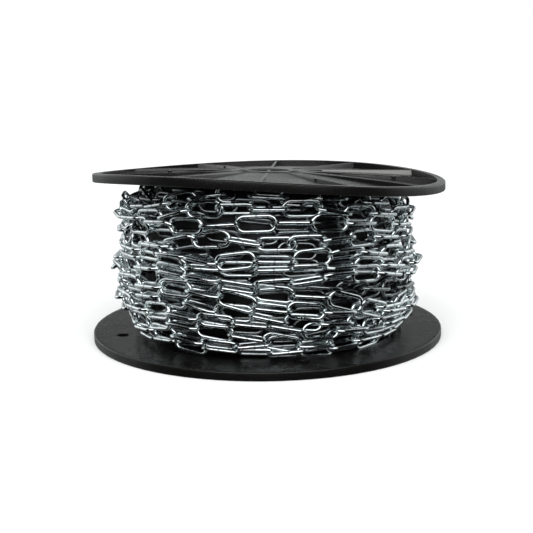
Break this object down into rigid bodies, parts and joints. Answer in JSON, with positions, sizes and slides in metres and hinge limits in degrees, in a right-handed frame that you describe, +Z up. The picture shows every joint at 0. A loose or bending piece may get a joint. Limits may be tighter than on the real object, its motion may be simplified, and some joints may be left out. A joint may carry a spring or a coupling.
{
  "type": "reel of chain",
  "caption": "Steel long-link chain wound full on a black plastic reel that stands on its flange; the top flange is warped and tilted.",
  "frame": {"origin": "centre of the bottom flange's underside, on the floor", "axes": "+Z up along the reel's axis; -Y is the front, where the top flange is raised; +X is to the right seen from the front"},
  "size_m": [0.2829, 0.2833, 0.1478],
  "materials": {
    "black_plastic": "satin black injection-moulded plastic",
    "zinc_chain": "bright zinc-plated steel wire"
  },
  "bodies": {
    "root": {"bottom_flange": "black_plastic", "top_flange": "black_plastic", "drum": "black_plastic", "chain_outer_layer": "zinc_chain", "chain_core": "zinc_chain"}
  },
  "joints": []
}
